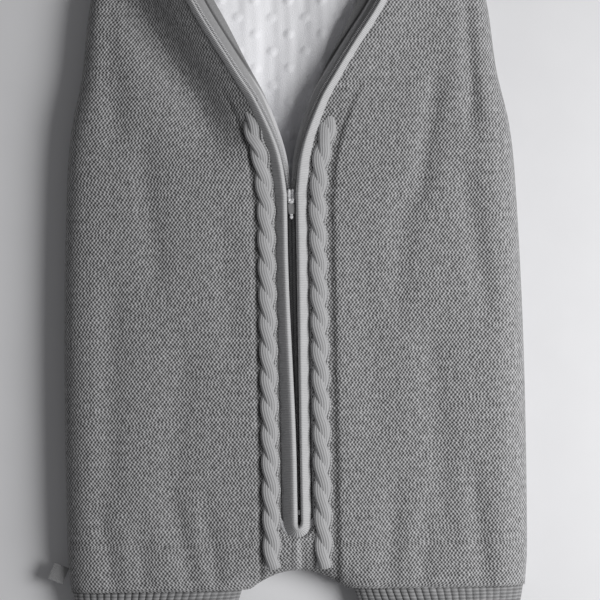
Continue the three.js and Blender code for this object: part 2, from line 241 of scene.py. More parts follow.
def shell(name, top, under, uv, attributes=None, mirrored=False):
    """A closed layer between two grids of points, with its rim."""
    rows, columns, _ = top.shape
    count = rows * columns
    faces = grid_faces(rows, columns, 0, mirrored)
    faces += grid_faces(rows, columns, count, not mirrored)
    rim = [r * columns for r in range(rows)]
    far = [r * columns + columns - 1 for r in range(rows)]
    for line, flip in ((rim, True), (far, False)):
        for a, b in zip(line, line[1:]):
            quad = (a, b, b + count, a + count)
            faces.append(quad[::-1] if flip != mirrored else quad)
    near = list(range(columns))
    end = [(rows - 1) * columns + c for c in range(columns)]
    for line, flip in ((near, False), (end, True)):
        for a, b in zip(line, line[1:]):
            quad = (a, a + count, b + count, b)
            faces.append(quad[::-1] if flip != mirrored else quad)
    up = grid_normals(top) * (-1 if mirrored else 1)
    down = -grid_normals(under) * (-1 if mirrored else 1)
    points = np.concatenate([top.reshape(-1, 3), under.reshape(-1, 3)])
    normals = np.concatenate([up.reshape(-1, 3), down.reshape(-1, 3)])
    fields = {k: np.tile(v.reshape(-1), 2) for k, v in (attributes or {}).items()}
    flat = np.tile(uv.reshape(-1, 2), (2, 1))
    return mesh_object(name, points, faces, flat, normals, fields)


def sweep(name, path, section, closed_ends=True, scale=None, part=None, start=0.0):
    """A section (across, up) carried along a path in mm, or part of it, from start on."""
    path = np.asarray(path, float)
    section = np.asarray(section, float)
    along = np.gradient(path, axis=0)
    along /= np.linalg.norm(along, axis=1, keepdims=True)
    across = np.cross(along, [0, 0, 1.0])
    across /= np.linalg.norm(across, axis=1, keepdims=True)
    lift = np.cross(across, along)
    size = np.ones(len(path)) if scale is None else np.asarray(scale, float)
    m = len(section)
    points = (path[:, None, :]
              + size[:, None, None] * section[None, :, 0, None] * across[:, None, :]
              + size[:, None, None] * section[None, :, 1, None] * lift[:, None, :])
    travelled = np.concatenate([[0], np.cumsum(np.linalg.norm(np.diff(path, axis=0), axis=1))])
    ring = np.vstack([section, section[:1]])
    round_it = np.concatenate([[0], np.cumsum(np.linalg.norm(np.diff(ring, axis=0), axis=1))])
    uv = np.stack(np.broadcast_arrays(round_it[None, :m], start + travelled[:, None]), axis=-1)
    kept = slice(0, len(path)) if part is None else slice(part[0], part[1] + 1)
    n = len(path[kept])
    faces = []
    for i in range(n - 1):
        for j in range(m):
            k = (j + 1) % m
            faces.append((i * m + j, (i + 1) * m + j, (i + 1) * m + k, i * m + k))
    if closed_ends:
        faces.append(tuple(range(m)))
        faces.append(tuple((n - 1) * m + j for j in reversed(range(m))))
    flat = place(points[..., 0], points[..., 1], points[..., 2])
    ring_step = np.roll(flat, -1, axis=1) - np.roll(flat, 1, axis=1)
    normal = np.cross(np.gradient(flat, axis=0), ring_step)
    normal /= np.maximum(np.linalg.norm(normal, axis=-1, keepdims=True), 1e-12)
    away = np.sum(normal * (flat - flat.mean(axis=1, keepdims=True)))
    normal = normal[kept].reshape(-1, 3) * (1 if away > 0 else -1)
    # Cross product of path and ring gives the side that the faces' corners turn to.
    if away < 0:
        faces = [face[::-1] for face in faces]
    return mesh_object(name, flat[kept].reshape(-1, 3), faces, uv[kept].reshape(-1, 2), normal)


def oval(half_across, half_up, sides=12):
    turn = np.linspace(0, 2 * math.pi, sides, endpoint=False)
    return np.stack([half_across * np.cos(turn), half_up * np.sin(turn)], axis=-1)


def joined(name, objects):
    """Several meshes made into one object."""
    for o in bpy.context.view_layer.objects:
        o.select_set(False)
    for o in objects:
        o.select_set(True)
    bpy.context.view_layer.objects.active = objects[0]
    if len(objects) > 1:
        bpy.ops.object.join()
    objects[0].name = name
    objects[0].data.name = name
    return objects[0]


# ------------------------------------------------------------------ how it moves


def ride_edge(obj, zone):
    """Rides the bag below the slider; above it the piece is baked in place, attached to no body.
    """
    if zone == "low":
        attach(obj, "bag")
        return
    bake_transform(obj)


WORDS = {-1: "left", 1: "right"}
ZONES = ("low", "mid", "high")


# ------------------------------------------------------------------ materials

def material(name):
    made = bpy.data.materials.new(name)
    made.use_nodes = True
    nodes = made.node_tree.nodes
    nodes.clear()
    out = nodes.new("ShaderNodeOutputMaterial")
    shader = nodes.new("ShaderNodeBsdfPrincipled")
    made.node_tree.links.new(shader.outputs[0], out.inputs[0])
    return made, shader


class Wires:
    """Short calls for building a node tree."""

    def __init__(self, made):
        self.tree = made.node_tree

    def node(self, kind, **settings):
        made = self.tree.nodes.new(kind)
        for key, value in settings.items():
            setattr(made, key, value)
        return made

    def link(self, source, target):
        self.tree.links.new(source, target)

    def put(self, value, target):
        if isinstance(value, (int, float)):
            target.default_value = value
        else:
            self.link(value, target)

    def math(self, operation, a, b=0.0, clamp=False):
        made = self.node("ShaderNodeMath", operation=operation, use_clamp=clamp)
        self.put(a, made.inputs[0])
        self.put(b, made.inputs[1])
        return made.outputs[0]

    def noise(self, vector, scale, detail=2.0):
        made = self.node("ShaderNodeTexNoise")
        made.inputs["Scale"].default_value = scale
        made.inputs["Detail"].default_value = detail
        self.link(vector, made.inputs["Vector"])
        return made.outputs[0]

    def uv(self):
        return self.node("ShaderNodeUVMap", uv_map="cloth").outputs[0]

    def split(self, vector):
        made = self.node("ShaderNodeSeparateXYZ")
        self.link(vector, made.inputs[0])
        return made.outputs[0], made.outputs[1]

    def attribute(self, name):
        return self.node("ShaderNodeAttribute", attribute_name=name).outputs["Fac"]

    def mix(self, factor, a, b):
        made = self.node("ShaderNodeMix", data_type="RGBA")
        self.put(factor, made.inputs[0])
        for value, socket in ((a, made.inputs[6]), (b, made.inputs[7])):
            if isinstance(value, tuple):
                socket.default_value = (*value, 1)
            else:
                self.link(value, socket)
        return made.outputs[2]

    def bump(self, height, distance, strength=1.0):
        made = self.node("ShaderNodeBump")
        made.inputs["Distance"].default_value = distance
        made.inputs["Strength"].default_value = strength
        self.link(height, made.inputs["Height"])
        return made.outputs[0]


def grey(value, blue=1.015):
    return (value, value, value * blue)


def cloth_finish(shader, roughness, sheen):
    shader.inputs["Roughness"].default_value = roughness
    shader.inputs["Sheen Weight"].default_value = sheen
    shader.inputs["Specular IOR Level"].default_value = 0.2


def half_up(w, value):
    return w.math("ADD", w.math("MULTIPLY", value, 0.5), 0.5)


def waved(w, u, v, amount, scale):
    """u and v moved about by a slow noise, so that no row is ruled straight."""
    uv = w.uv()
    first = w.math("SUBTRACT", w.noise(uv, scale, 1.0), 0.5)
    turned = w.node("ShaderNodeMapping")
    turned.inputs["Location"].default_value = (71.0, 33.0, 0.0)
    w.link(uv, turned.inputs["Vector"])
    second = w.math("SUBTRACT", w.noise(turned.outputs[0], scale, 1.0), 0.5)
    return (w.math("ADD", u, w.math("MULTIPLY", first, amount)),
            w.math("ADD", v, w.math("MULTIPLY", second, amount)))


KNIT_ACROSS = 3.16             # mm between stitches in a row
KNIT_ALONG = 3.95              # mm from a row to the next like it


def knit_material(name, shaded_pit, yarn, across=KNIT_ACROSS, along=KNIT_ALONG):
    made, shader = material(name)
    w = Wires(made)
    u, v = w.split(w.uv())
    u, v = waved(w, u, v, 2.6, 0.07)
    rows = w.node("ShaderNodeMapping")
    rows.inputs["Scale"].default_value = (0.035, 0.42, 1.0)
    w.link(w.uv(), rows.inputs["Vector"])
    slip = w.math("SUBTRACT", w.noise(rows.outputs[0], 1.0, 0.0), 0.5)
    u = w.math("ADD", u, w.math("MULTIPLY", slip, 2.0))
    a = w.math("COSINE", w.math("MULTIPLY", u, 2 * math.pi / across))
    b = w.math("COSINE", w.math("MULTIPLY", v, 2 * math.pi / along))
    # Where the stitches dip, the colour goes to the pit value: painted shade in the hollows
    # between stitches.
    bumps = half_up(w, w.math("MULTIPLY", a, b))
    uneven = w.noise(w.uv(), 0.22, 3.0)
    fuzz = w.noise(w.uv(), 1.3, 3.0)
    height = w.math("ADD", bumps, w.math("MULTIPLY", fuzz, 0.5))
    height = w.math("SUBTRACT", height, w.math("MULTIPLY", w.attribute("ditch"), 0.6))
    shade = w.math("ADD", bumps, w.math("MULTIPLY", w.math("SUBTRACT", uneven, 0.5), 0.9))
    # The ditch beside each cable and the ground under the cables are darkened with painted
    # shade.
    shade = w.math("SUBTRACT", shade, w.math("MULTIPLY", w.attribute("ditch"), 0.45))
    shade = w.math("ADD", shade, w.math("MULTIPLY", w.attribute("rib"), 0.35), clamp=True)
    w.link(w.mix(shade, grey(shaded_pit), grey(yarn)), shader.inputs["Base Color"])
    w.link(w.bump(height, 0.0011), shader.inputs["Normal"])
    cloth_finish(shader, 0.92, 0.18)
    return made


def striped_material(name, dark, light, period, distance, axis=1, slant=0.0, soft=0.5):
    """Yarn or ribs in fine stripes: axis 0 runs lengthwise, axis 1 crosswise."""
    made, shader = material(name)
    w = Wires(made)
    u, v = w.split(w.uv())
    u, v = waved(w, u, v, 0.9, 0.12)
    main, other = (v, u) if axis else (u, v)
    main = w.math("ADD", main, w.math("MULTIPLY", other, slant))
    wave = half_up(w, w.math("SINE", w.math("MULTIPLY", main, 2 * math.pi / period)))
    fuzz = w.noise(w.uv(), 1.1, 3.0)
    uneven = w.noise(w.uv(), 0.15, 2.0)
    shade = w.math("ADD", w.math("MULTIPLY", wave, soft), w.math("MULTIPLY", fuzz, 0.45))
    shade = w.math("ADD", shade, w.math("MULTIPLY", uneven, 0.35))
    shade = w.math("SUBTRACT", shade, 0.2, clamp=True)
    w.link(w.mix(shade, grey(dark), grey(light)), shader.inputs["Base Color"])
    height = w.math("ADD", wave, w.math("MULTIPLY", fuzz, 0.6))
    w.link(w.bump(height, distance), shader.inputs["Normal"])
    cloth_finish(shader, 0.9, 0.15)
    return made


def plush_material(name, dark, light):
    made, shader = material(name)
    w = Wires(made)
    nap = w.noise(w.uv(), 1.0, 3.0)
    patches = w.noise(w.uv(), 0.05, 2.0)
    shade = w.math("ADD", w.math("MULTIPLY", nap, 0.5), w.math("MULTIPLY", patches, 0.5))
    w.link(w.mix(shade, grey(dark, 1.03), grey(light, 1.03)), shader.inputs["Base Color"])
    w.link(w.bump(nap, 0.0005), shader.inputs["Normal"])
    cloth_finish(shader, 1.0, 0.35)
    return made


def facing_material(name, dark, light, band_light):
    """Brushed jersey with a lighter rolled band, and a fold beside it darkened with painted
    shade.
    """
    made, shader = material(name)
    w = Wires(made)
    nap = w.noise(w.uv(), 0.9, 3.0)
    base = w.mix(nap, grey(dark), grey(light))
    band = w.mix(w.attribute("band"), base, grey(band_light))
    # The fold beside the band is painted in shade, close to black.
    shaded_fold = w.math("MULTIPLY", w.attribute("shaded_fold"), 0.8)
    w.link(w.mix(shaded_fold, band, grey(dark * 0.3)), shader.inputs["Base Color"])
    w.link(w.bump(nap, 0.0004), shader.inputs["Normal"])
    cloth_finish(shader, 0.95, 0.2)
    return made


def woven_material(name, dark, light, period=0.7):
    made, shader = material(name)
    w = Wires(made)
    u, v = w.split(w.uv())
    a = w.math("SINE", w.math("MULTIPLY", u, 2 * math.pi / period))
    b = w.math("SINE", w.math("MULTIPLY", v, 2 * math.pi / period))
    weave = half_up(w, w.math("MULTIPLY", a, b))
    dust = w.noise(w.uv(), 0.4, 3.0)
    shade = w.math("MULTIPLY", w.math("ADD", weave, dust), 0.5)
    w.link(w.mix(shade, grey(dark), grey(light)), shader.inputs["Base Color"])
    w.link(w.bump(weave, 0.0002), shader.inputs["Normal"])
    cloth_finish(shader, 0.85, 0.1)
    return made


def hard_material(name, dark, light, roughness, metallic, marks=60.0):
    """Metal or moulded plastic, with a slightly uneven surface. Uses object coordinates."""
    made, shader = material(name)
    w = Wires(made)
    where = w.node("ShaderNodeTexCoord").outputs["Object"]
    spots = w.noise(where, marks * 20, 3.0)
    w.link(w.mix(spots, grey(dark), grey(light)), shader.inputs["Base Color"])
    rough = w.math("ADD", w.math("MULTIPLY", spots, 0.12), roughness)
    w.link(rough, shader.inputs["Roughness"])
    shader.inputs["Metallic"].default_value = metallic
    w.link(w.bump(spots, 0.00003), shader.inputs["Normal"])
    return made


# 0.07 is the stitches' pits, painted shade in the hollows; 0.62 is the yarn's own grey.
KNIT = knit_material("knit", 0.07, 0.62)
CABLE = striped_material("cable yarn", 0.35, 0.57, 2.1, 0.0002, axis=0)
STITCHES = striped_material("stitch column", 0.26, 0.66, 2.4, 0.0004)
PIPING = striped_material("piping rib", 0.42, 0.70, 1.45, 0.0003)
RIB = striped_material("rib knit", 0.12, 0.52, 3.0, 0.0004, soft=0.35)
PLUSH = plush_material("plush lining", 0.88, 0.99)
WADDING = plush_material("wadding", 0.80, 0.90)
FACING = facing_material("facing", 0.22, 0.40, 0.62)
TAPE = woven_material("zip tape", 0.34, 0.58, 0.9)
# The closed zip lies down in the slot between the pipings: these darker copies of the tape and
# coil are painted shade.
SHADED_CLOSED_TAPE = woven_material("closed zip tape in shade", 0.20, 0.32, 0.9)
COIL = hard_material("zip coil", 0.50, 0.70, 0.4, 0.0)
SHADED_CLOSED_COIL = hard_material("closed zip coil in shade", 0.40, 0.55, 0.4, 0.0)
METAL = hard_material("zip metal", 0.80, 0.92, 0.32, 0.15)
GRIP = hard_material("pull grip", 0.20, 0.30, 0.5, 0.0)
LABEL = woven_material("label", 0.30, 0.42, 0.8)


def dress(obj, finish, slot_name, *nodes):
    obj.data.materials.clear()
    obj.data.materials.append(finish)
    if nodes:
        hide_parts(*nodes)
    return obj


# ------------------------------------------------------------------ front layers

ARCH_FADE = 75                 # rows follow the crotch's arch for this far up


def front_columns(side, ys, inset, grow, cell):
    """x of every grid point of half a front layer: rows by columns, from zip to side."""
    inner = np.where(ys < 385, 9.0, opening_edge(ys) - 6) + grow
    inner = inner * smooth((ys - 92 + grow) / 12)
    outer = half_width(ys) - inset
    longest = float(np.max(outer - inner))
    arc = SIDE_ROLL * math.pi / 2 * 0.9
    count = int((longest - SIDE_ROLL + arc) / cell) + 2
    step = np.linspace(0, 1, count)[None, :]
    width = (outer - inner)[:, None]
    straight = width - SIDE_ROLL
    travelled = step * (straight + arc)
    bend = np.clip((travelled - straight) / arc, 0, 1) * math.pi / 2
    from_side = np.where(travelled < straight, width - travelled, SIDE_ROLL * (1 - np.sin(bend)))
    return side * (outer[:, None] - from_side)


def front_layer(name, side, depth, thick, inset, grow, cell, finish, slot_name, relief=None):
    """Half of one front layer in three pieces: under the slider, beside the V, above it."""
    stops = (BODY_START + inset * 0.2, FOLD_CLEAR, FOLD_WIDEST, LENGTH - inset)
    pieces = [np.linspace(a, b, max(int((b - a) / cell), 3) + 1)
              for a, b in zip(stops, stops[1:])]
    ys = np.concatenate([pieces[0], pieces[1][1:], pieces[2][1:]])
    xs = front_columns(side, ys, inset, grow, cell)
    arch = CROTCH_TOP + inset - CROTCH_CURVE * xs ** 2
    arch = np.maximum(arch[0][None, :], ys[0])
    climb = (ys - ys[0])[:, None]
    rise = arch - ys[0]
    grid_y = np.where(climb < ARCH_FADE, arch + climb * (1 - rise / ARCH_FADE),
                      arch + climb - rise)
    top_z = front_skin(xs, grid_y)
    fields = {"ditch": 0 * xs, "rib": 0 * xs}
    if relief is not None:
        lift, fields = relief(xs, grid_y)
        top_z = top_z + lift
    top = place(xs, grid_y, top_z - depth)
    under = place(xs, grid_y, top_z - depth - thick)
    flat = np.sqrt(np.sum(np.diff(top, axis=1)[..., [0, 2]] ** 2, axis=-1)) * 1000
    from_zip = np.concatenate([np.zeros((len(ys), 1)), np.cumsum(flat, axis=1)], axis=1)
    uv = np.stack([side * (from_zip + np.abs(xs)[:, :1]), grid_y], axis=-1)
    cuts = [0, len(pieces[0]) - 1, len(pieces[0]) + len(pieces[1]) - 2, len(ys) - 1]
    made = []
    for zone, a, b in zip(ZONES, cuts, cuts[1:]):
        part = slice(a, b + 1)
        zone_fields = {k: f[part] for k, f in fields.items()}
        obj = shell(f"{name}_{WORDS[side]}_{zone}", top[part], under[part], uv[part],
                    zone_fields, mirrored=side < 0)
        dress(obj, finish, slot_name)
        ride_edge(obj, zone)
        made.append(obj)
    return made


CABLE_MIDDLE = 7.4             # cable's centre line from the piping's outer edge
CABLE_HALF = 7.2
CABLE_ENDS = 436               # the cables start to slip under the piping here
DITCH = {-1: (16.4, 1.8), 1: (19.6, 2.2)}   # place and width of the sunken line


def knit_relief(xs, ys):
    """The sunken ground beside the cables and the raised rib under the zip; the ditch and the
    ground under the cables also carry painted shade.
    """
    side = 1 if np.mean(xs) > 0 else -1
    from_edge = np.abs(xs) - opening_edge(ys)
    at, width = DITCH[side]
    shown = smooth((CABLE_ENDS + 60 - ys) / 60)
    ditch = np.exp(-((from_edge - at) / width) ** 2) * shown
    dip_and_shade_under_cable = smooth((at - from_edge) / 3) * smooth((from_edge + 4) / 4) * shown
    around = np.where(ys < SLOT_BOTTOM, np.hypot(xs, ys - SLOT_BOTTOM), np.abs(xs))
    pocket = smooth((15.0 - around) / 2.5) * smooth((FOLD_CLEAR + 30 - ys) / 30)
    below_zip = smooth((92 - ys) / 5)
    rib = np.exp(-(xs / 3.0) ** 4) * below_zip
    lift = -1.3 * ditch + 1.3 * rib - 6 * pocket
    # The ditch and the ground under a cable go out as a mask for painted shade as well as for
    # the dip.
    return lift, {"ditch": ditch + 0.25 * dip_and_shade_under_cable, "rib": rib}


for side in (-1, 1):
    knit = front_layer("front_knit", side, 0, 2.6, 0, 0, 2.1, KNIT, "knit", knit_relief)
    wadding = front_layer("front_wadding", side, 2.9, 4.0, 10, 5, 6.0, WADDING, "wadding")
    lining = front_layer("front_lining", side, 7.2, 2.2, 15, 9, 5.0, PLUSH, "lining")
    for pieces, node in ((knit, "front_knit"), (wadding, "front_wadding"),
                         (lining, "front_lining")):
        for piece in pieces:
            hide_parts(node)


# ------------------------------------------------------------------ back layers

def back_layer(name, depth, thick, inset, cell, finish, slot_name, bumps=None):
    """One back layer in one piece, from the crotch and cuffs up to the neck."""
    ys = np.linspace(BODY_START + inset * 0.2, LENGTH - inset, int((LENGTH - 60) / cell))
    count = int(400 / cell)
    across = np.linspace(-1, 1, count)
    spread = np.sin(across * math.pi / 2) * 0.35 + across * 0.65
    xs = spread[None, :] * (half_width(ys) - inset)[:, None]
    arch = np.maximum(CROTCH_TOP + inset - CROTCH_CURVE * xs[0] ** 2, ys[0])[None, :]
    neck = (730 + 0.0036 * xs[-1] ** 2 - (inset > 0))[None, :]
    neck = np.minimum(neck, LENGTH - inset)
    t = ((ys - ys[0]) / (ys[-1] - ys[0]))[:, None]
    start = np.maximum(1 - t * 8, 0) ** 2 * (arch - ys[0])
    end = np.maximum((t - 0.8) * 5, 0) ** 2 * (neck - ys[-1])
    grid_y = ys[:, None] + start + end
    base = back_under(xs, grid_y)
    lift = 0 * xs if bumps is None else bumps(xs, grid_y)
    under = place(xs, grid_y, base + depth)
    top = place(xs, grid_y, base + depth + thick + lift)
    uv = np.stack([xs, grid_y], axis=-1)
    fields = {"ditch": 0 * xs, "rib": 0 * xs}
    obj = shell(name, top, under, uv, fields)
    dress(obj, finish, slot_name, name)
    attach(obj, "bag")
    return obj


DOT_ROW = 14.6                 # mm between rows of plush dots
DOT_SIZE = 5.2
DOT_RISE = 1.15


def plush_dots(xs, ys):
    """Raised dots in staggered rows, and slow wrinkles running down the back."""
    row = np.round(ys / DOT_ROW)
    shift = np.where(row % 2 == 0, 0.0, DOT_ROW)
    column = np.round((xs - shift) / (2 * DOT_ROW))
    dx = xs - (column * 2 * DOT_ROW + shift)
    dy = ys - row * DOT_ROW
    dots = DOT_RISE * (1 - smooth((np.hypot(dx, dy) - 1.4) / (DOT_SIZE - 1.4)))
    wrinkles = 0.9 * np.sin(xs * 0.085 + 1.7 * np.sin(ys * 0.018 + 0.6))
    wrinkles = wrinkles + 0.6 * np.sin(xs * 0.21 + 2.3 * np.sin(ys * 0.012 + 2.0))
    fine = np.sin(xs * 0.55 + 3.0 * np.sin(ys * 0.02)) * np.sin(ys * 0.045 + xs * 0.11)
    wrinkles = wrinkles + 0.28 * fine
    calm = smooth((half_width(ys) - 20 - np.abs(xs)) / 40)
    rising = 14 * smooth((-xs + 2) / 95) * smooth((half_width(ys) - 20 + xs) / 40)
    in_view = smooth((opening_edge(ys) + 6 - np.abs(xs)) / 24)
    lifted = smooth((735 - ys) / 130) * in_view
    rising = rising * smooth((ys - 420) / 120) * lifted
    bulge = 10 * smooth((ys - 400) / 110) * calm * lifted
    return dots + (wrinkles + 0.6) * calm + rising + bulge


back_knit = back_layer("back_knit", 0, 2.6, 0, 4.0, KNIT, "knit")
back_wadding = back_layer("back_wadding", 2.9, 4.0, 10, 6.0, WADDING, "wadding")
back_lining = back_layer("back_lining", 7.2, 2.2, 15, 1.7, PLUSH, "lining", plush_dots)


# ------------------------------------------------------------------ cables and stitches

def edge_line(ys, out):
    """Points beside the opening: out mm outwards from its edge, at every row."""
    x = opening_edge(ys)
    lean = np.gradient(x, ys)
    size = np.hypot(1, lean)
    return x + out / size, ys - out * lean / size


def zone_stretches(ys):
    """The rows of a cable in each zone, meeting at a shared row."""
    a = int(np.argmin(np.abs(ys - FOLD_CLEAR)))
    return (("low", 0, a), ("mid", a, len(ys) - 1))


LOBE = 24.0                    # mm from one crossing of a cable to the next
STRAND_SECTION = oval(5.0, 1.8, 14)


def under_piping(ys):
    """0 where a cable lies beside the piping, 1 where it has slipped under it."""
    return smooth((ys - CABLE_ENDS) / 40)


def strand_path(side, ys, phase):
    turn = math.pi * ys / LOBE + phase
    sway = -side * 2.5 * np.sin(turn)
    x, y = edge_line(ys, CABLE_MIDDLE + sway - 10 * under_piping(ys))
    x = side * x
    up = 0.9 + 1.15 * np.cos(turn) - 9 * under_piping(ys)
    z = front_skin(x, y) + up
    return np.stack([x, y, z], axis=-1)


def stitch_path(side, ys):
    sway = CABLE_HALF - 0.3 - 1.1 * np.cos(2 * math.pi * ys / LOBE)
    out = CABLE_MIDDLE + side * sway - 10 * under_piping(ys)
    x, y = edge_line(ys, out)
    x = side * x
    up = 0.5 - 8 * under_piping(ys)
    return np.stack([x, y, front_skin(x, y) + up], axis=-1)


cable_rows = np.concatenate([
    np.linspace(64, FOLD_CLEAR, 214), np.linspace(FOLD_CLEAR, CABLE_ENDS + 40, 48)[1:]])
for side in (-1, 1):
    for zone, a, b in zone_stretches(cable_rows):
        word = f"{WORDS[side]}_{zone}"
        strands = [sweep(f"strand_{word}_{i}", strand_path(side, cable_rows, i * math.pi),
                         STRAND_SECTION, closed_ends=False, part=(a, b)) for i in (0, 1)]
        cable = joined(f"cable_{word}", strands)
        dress(cable, CABLE, "knit", "front_knit")
        ride_edge(cable, zone)
        column = sweep(f"stitches_{word}", stitch_path(side, cable_rows), oval(0.9, 0.8, 8),
                       closed_ends=False, part=(a, b))
        dress(column, STITCHES, "knit", "front_knit")
        ride_edge(column, zone)


# ------------------------------------------------------------------ piping

PIPING_SECTION = np.array([
    (-5.2, -4.6), (-5.8, -1.5), (-5.9, 2.2), (-5.3, 4.8), (-4.0, 6.2), (-2.5, 6.1),
    (-0.6, 4.7), (1.8, 2.2), (4.0, -0.4), (5.9, -2.8), (6.1, -4.2), (0, -5.2)])


LEFT_ARM = (-5.9, 1.12)        # where each arm lies low on the zip, and its fullness
RIGHT_ARM = (8.0, 0.74)


def piping_path():
    """The U round the closed zip, walked with the slot on the left-hand side."""
    up = np.append(np.arange(SLOT_BOTTOM + 2, FOLD_CLEAR, 2.0), FOLD_CLEAR + 0.9)
    drift = smooth((345 - up) / 200)
    top = float(opening_edge(FOLD_CLEAR)) - 6
    left = np.stack([-top + (LEFT_ARM[0] + top) * drift, up, 35 + 0 * up], axis=-1)
    right = np.stack([top + (RIGHT_ARM[0] - top) * drift, up, 35 + 0 * up], axis=-1)
    turn = np.linspace(math.pi, 2 * math.pi, 26)
    middle = (left[0, 0] + right[0, 0]) / 2
    radius = (right[0, 0] - left[0, 0]) / 2
    bend = np.stack([middle + radius * np.cos(turn), SLOT_BOTTOM + 10 * np.sin(turn),
                     35 + 0 * turn], axis=-1)
    sizes = np.concatenate([
        (1 + (LEFT_ARM[1] - 1) * drift)[::-1],
        np.interp(turn, [math.pi, 2 * math.pi], [LEFT_ARM[1], RIGHT_ARM[1]]),
        1 + (RIGHT_ARM[1] - 1) * drift])
    return np.concatenate([left[::-1], bend, right]), sizes


lower_path, lower_sizes = piping_path()
piping = sweep("piping_lower", lower_path, PIPING_SECTION, scale=lower_sizes)
dress(piping, PIPING, "piping", "piping_lower")
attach(piping, "bag")


def side_path(side, ys, out, up):
    x, y = edge_line(ys, out)
    return np.stack([side * x, y, edge_heights[side](ys) + up], axis=-1)


edge_rows = np.concatenate([
    np.linspace(FOLD_CLEAR, FOLD_WIDEST, 88), np.linspace(FOLD_WIDEST, 742, 92)[1:]])


def along_edge(name, side, out, up, section, finish, slot_name, node, rows=edge_rows,
               size=None, start=0.0):
    """A long piece on the open edge, in two pieces."""
    whole = np.asarray(section, float) * [side, 1]
    if side < 0:
        whole = whole[::-1]
    middle = int(np.argmin(np.abs(rows - FOLD_WIDEST)))
    for zone, a, b in (("mid", 0, middle), ("high", middle, len(rows) - 1)):
        piece = sweep(f"{name}_{WORDS[side]}_{zone}", side_path(side, rows, out, up), whole,
                      scale=size, part=(a, b), start=start)
        dress(piece, finish, slot_name, node)
        ride_edge(piece, zone)


# Higher up the edges turn away from the viewer: the piping is seen edge on.
PIPING_OUT = {
    -1: profile([(386, -6), (412, -5.3), (450, -3.4), (495, -1.7), (742, -1.5)]),
    1: profile([(386, -6), (412, -5.8), (450, -5.3), (510, -4.7), (553, -2.4), (742, -2.2)])}
PIPING_SIZE = {
    -1: profile([(386, 1), (400, 0.96), (450, 0.64), (500, 0.46), (742, 0.44)]),
    1: profile([(386, 1), (400, 0.96), (450, 0.72), (510, 0.56), (742, 0.54)])}
lower_length = np.linalg.norm(np.diff(lower_path, axis=0), axis=1).sum()
for side, start in ((-1, 0.0), (1, lower_length)):
    along_edge("piping", side, PIPING_OUT[side](edge_rows), 0, PIPING_SECTION, PIPING,
               "piping", f"piping_{WORDS[side]}_edge", size=PIPING_SIZE[side](edge_rows),
               start=start)


# ------------------------------------------------------------------ zip

def slab_section(inner, outer, low, high, steps=4):
    """A thin rounded strip from inner to outer, counted from its path."""
    xs = np.linspace(inner, outer, steps)
    lower = [(x, low) for x in xs]
    upper = [(x, high) for x in xs[::-1]]
    return np.array(lower + upper)


zip_rows = edge_rows[edge_rows < 692]
TAPE_SECTION = slab_section(-6.2, 6.2, -0.35, 0.35)


COIL_PITCH = 1.5
COIL_HALF = 1.2


def coil_object(name, line):
    """The coil wound along its centre line, at its real pitch."""
    line = np.asarray(line, float)
    length = np.concatenate([[0], np.cumsum(np.linalg.norm(np.diff(line, axis=0), axis=1))])
    turns = int(length[-1] / COIL_PITCH)
    at = np.linspace(0, length[-1], turns * 8 + 1)
    centre = np.stack([np.interp(at, length, line[:, i]) for i in range(3)], axis=-1)
    along = np.gradient(centre, axis=0)
    along /= np.linalg.norm(along, axis=1, keepdims=True)
    across = np.cross(along, [0, 0, 1.0])
    across /= np.linalg.norm(across, axis=1, keepdims=True)
    turn = at / COIL_PITCH * 2 * math.pi
    wound = (centre + COIL_HALF * np.cos(turn)[:, None] * across
             + 0.75 * np.sin(turn)[:, None] * np.array([0, 0, 1.0]))
    return sweep(name, wound, oval(0.33, 0.33, 5))


COIL_OUT = {
    -1: profile([(386, -13.5), (412, -12), (440, -9.6), (500, -5.6), (742, -5.3)]),
    1: profile([(386, -13.5), (412, -12.6), (440, -11.4), (510, -9.3), (553, -6.8),
                (742, -6.6)])}


def coil_zone(name, side, rows, zone, node):
    raised = (5.2 if side > 0 else 3.6) * smooth((rows - FOLD_CLEAR) / 60)
    line = side_path(side, rows, COIL_OUT[side](rows), -5.0 + raised)
    coil = coil_object(name, line)
    dress(coil, COIL, "zip_coil", node)
    ride_edge(coil, zone)


for side in (-1, 1):
    word = WORDS[side]
    along_edge("zip_tape", side, -6.1, -6.8, TAPE_SECTION, TAPE, "zip_tape",
               f"zip_tape_{word}_edge", zip_rows)
    middle = int(np.argmin(np.abs(zip_rows - FOLD_WIDEST)))
    coil_zone(f"zip_coil_{word}_mid", side, zip_rows[:middle + 1], "mid",
              f"zip_coil_{word}_edge")
    coil_zone(f"zip_coil_{word}_high", side, zip_rows[middle:], "high",
              f"zip_coil_{word}_edge")
    # The closed chain and its tapes use the darker copies: painted shade in the slot.
    closed = np.stack([np.full(2, side * 1.55), np.array([104.0, FOLD_CLEAR]),
                       np.full(2, CHAIN_UP + 1.1)], axis=-1)
    chain = coil_object(f"zip_coil_{word}", closed)
    dress(chain, SHADED_CLOSED_COIL, "zip_coil", f"zip_coil_{word}")
    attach(chain, "bag")
    tape_line = np.stack([np.full(60, side * 9.5), np.linspace(99, FOLD_CLEAR, 60),
                          np.full(60, CHAIN_UP - 0.65)], axis=-1)
    tape = sweep(f"zip_tape_{word}", tape_line, slab_section(-9, 9, -0.35, 0.35))
    dress(tape, SHADED_CLOSED_TAPE, "zip_tape", f"zip_tape_{word}")
    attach(tape, "bag")


# How far each facing strip reaches past the coil: hidden at the slider, wider higher up.
FACING_SHOWN = {
    -1: profile([(386, 0.6), (423, 2.5), (463, 5.5), (490, 8.5), (530, 13), (692, 14)]),
    1: profile([(386, 0.6), (423, 2.5), (463, 5), (490, 7.5), (510, 9.5), (553, 15),
                (692, 19)])}
FACING_BAND = 5.4              # the lighter rolled part beside the coil
FACING_SEAM = 3                # the strip is sewn this far in from the opening's edge


